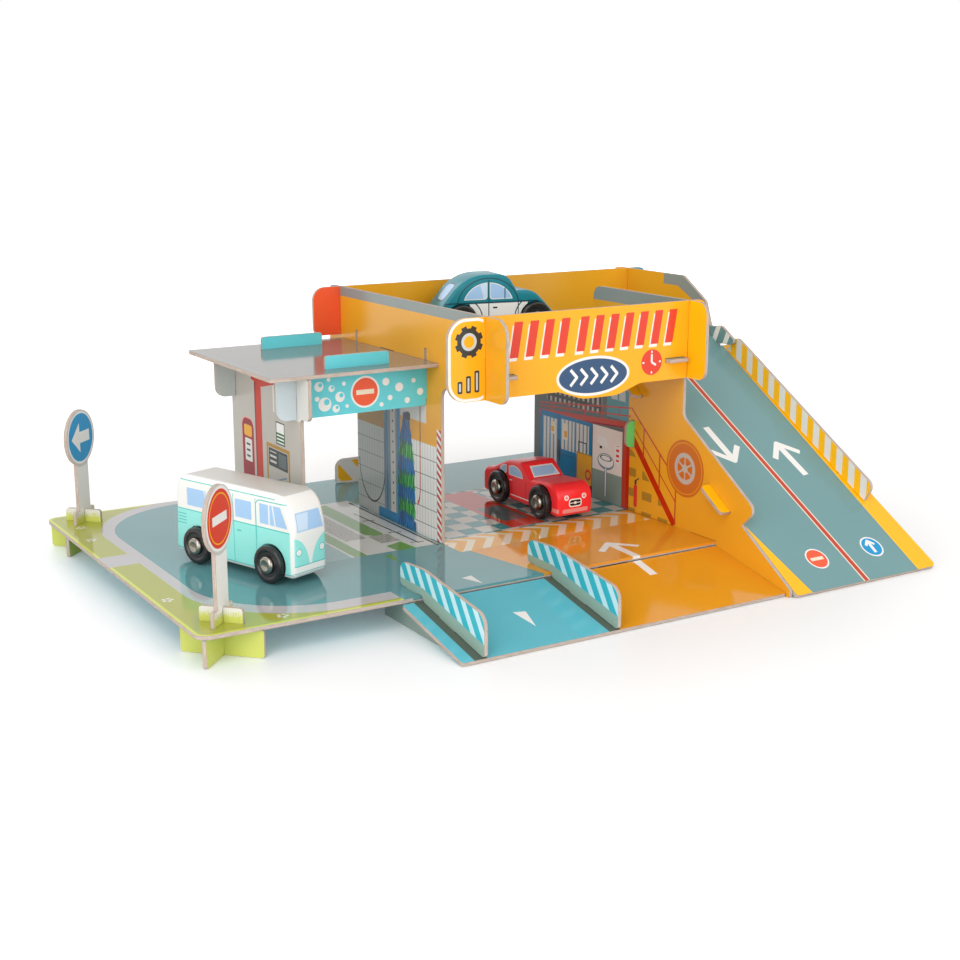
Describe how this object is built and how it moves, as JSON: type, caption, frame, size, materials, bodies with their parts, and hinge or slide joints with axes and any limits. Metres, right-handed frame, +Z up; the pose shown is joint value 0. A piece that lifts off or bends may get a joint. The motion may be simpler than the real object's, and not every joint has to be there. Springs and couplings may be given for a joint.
{
  "type": "toy garage",
  "caption": "Slot-together printed board toy garage with an upper parking floor, ramps, a canopy, road signs and wooden vehicles that roll.",
  "frame": {"origin": "on the table, below the middle of the overall box", "axes": "+X to the right along the front fascia, +Y to the back, +Z up"},
  "size_m": [0.5058, 0.3784, 0.1891],
  "materials": {
    "road_print": "varnished print on greyboard, grey-teal road colours",
    "lime_print": "varnished print on greyboard, lime green",
    "sign_print": "varnished print on greyboard, white",
    "yellow_print": "varnished print on greyboard, warm yellow",
    "leaf_print": "varnished print on greyboard, light green",
    "aqua_print": "varnished print on greyboard, aqua",
    "guard_print": "varnished print on greyboard, aqua stripes",
    "wedge_print": "varnished print on greyboard, dark green",
    "canopy_print": "varnished print on greyboard, pale grey",
    "pillar_print": "varnished print on greyboard, stone grey",
    "mint_paint": "smooth mint and white paint on wood",
    "red_paint": "smooth red paint on wood",
    "teal_paint": "smooth teal and white paint on wood",
    "wheel_black": "smooth black paint on turned wood",
    "axle_steel": "bright domed caps on a plain pin"
  },
  "bodies": {
    "garage": {"base_deck": "road_print", "left_wall": "yellow_print", "right_wall": "yellow_print", "outer_wall": "yellow_print", "front_fascia": "yellow_print", "rear_wall": "yellow_print", "roof_deck": "road_print", "roof_ramp": "road_print", "ramp_rail": "yellow_print", "ramp_rib": "leaf_print", "entry_ramp": "aqua_print", "ramp_guard_left": "guard_print", "ramp_guard_right": "guard_print", "ramp_wedge_left": "wedge_print", "ramp_wedge_right": "wedge_print", "canopy_roof": "canopy_print", "canopy_fascia_front": "aqua_print", "canopy_fascia_rear": "aqua_print", "pump_pillar": "pillar_print", "rear_barrier": "yellow_print", "road_sign_front_left": "sign_print", "road_sign_rear_left": "sign_print", "foot_post_front_right": "lime_print", "foot_post_rear_right": "lime_print", "foot_brace_front_left": "lime_print", "foot_brace_rear_left": "lime_print", "foot_brace_front_right": "lime_print", "foot_brace_rear_right": "lime_print"},
    "van": {"van_body": "mint_paint"},
    "van_rear_wheels": {"van_axle_rear": "axle_steel", "van_wheel_rear_left": "wheel_black", "van_wheel_rear_right": "wheel_black"},
    "van_front_wheels": {"van_axle_front": "axle_steel", "van_wheel_front_left": "wheel_black", "van_wheel_front_right": "wheel_black"},
    "coupe": {"coupe_body": "red_paint"},
    "coupe_rear_wheels": {"coupe_axle_rear": "axle_steel", "coupe_wheel_rear_left": "wheel_black", "coupe_wheel_rear_right": "wheel_black"},
    "coupe_front_wheels": {"coupe_axle_front": "axle_steel", "coupe_wheel_front_left": "wheel_black", "coupe_wheel_front_right": "wheel_black"},
    "saloon": {"saloon_body": "teal_paint"},
    "saloon_rear_wheels": {"saloon_axle_rear": "axle_steel", "saloon_wheel_rear_left": "wheel_black", "saloon_wheel_rear_right": "wheel_black"},
    "saloon_front_wheels": {"saloon_axle_front": "axle_steel", "saloon_wheel_front_left": "wheel_black", "saloon_wheel_front_right": "wheel_black"}
  },
  "joints": [
    {"name": "van_roll", "type": "slide", "parent": "garage", "child": "van", "axis": [0.3322, -0.9432, 0], "range_m": [-0.06, 0.05]},
    {"name": "van_rear_wheels_turn", "type": "hinge", "parent": "van", "child": "van_rear_wheels", "pos_m": [-0.18427, 0.03048, 0.0324], "axis": [0.9432, 0.3322, 0], "range_deg": [-286, 238]},
    {"name": "van_front_wheels_turn", "type": "hinge", "parent": "van", "child": "van_front_wheels", "pos_m": [-0.16195, -0.0329, 0.0324], "axis": [0.9432, 0.3322, 0], "range_deg": [-286, 238]},
    {"name": "coupe_roll", "type": "slide", "parent": "garage", "child": "coupe", "axis": [0, -1, 0], "range_m": [-0.08, 0.08]},
    {"name": "coupe_rear_wheels_turn", "type": "hinge", "parent": "coupe", "child": "coupe_rear_wheels", "pos_m": [0.06863, 0.05788, 0.0324], "axis": [1, 0, 0], "range_deg": [-380, 380]},
    {"name": "coupe_front_wheels_turn", "type": "hinge", "parent": "coupe", "child": "coupe_front_wheels", "pos_m": [0.06863, 0.00238, 0.0324], "axis": [1, 0, 0], "range_deg": [-380, 380]},
    {"name": "saloon_roll", "type": "slide", "parent": "garage", "child": "saloon", "axis": [0.9826, -0.1857, 0], "range_m": [-0.03, 0.095]},
    {"name": "saloon_rear_wheels_turn", "type": "hinge", "parent": "saloon", "child": "saloon_rear_wheels", "pos_m": [0.03713, 0.09738, 0.1554], "axis": [0.1857, 0.9826, 0], "range_deg": [-144, 451]},
    {"name": "saloon_front_wheels_turn", "type": "hinge", "parent": "saloon", "child": "saloon_front_wheels", "pos_m": [0.09579, 0.0863, 0.1554], "axis": [0.1857, 0.9826, 0], "range_deg": [-144, 451]}
  ],
  "couplings": [
    {"joint": "van_rear_wheels_turn", "follows": "van_roll", "rad_per_m": 82.645},
    {"joint": "van_front_wheels_turn", "follows": "van_roll", "rad_per_m": 82.645},
    {"joint": "coupe_rear_wheels_turn", "follows": "coupe_roll", "rad_per_m": 82.645},
    {"joint": "coupe_front_wheels_turn", "follows": "coupe_roll", "rad_per_m": 82.645},
    {"joint": "saloon_rear_wheels_turn", "follows": "saloon_roll", "rad_per_m": 82.645},
    {"joint": "saloon_front_wheels_turn", "follows": "saloon_roll", "rad_per_m": 82.645}
  ]
}
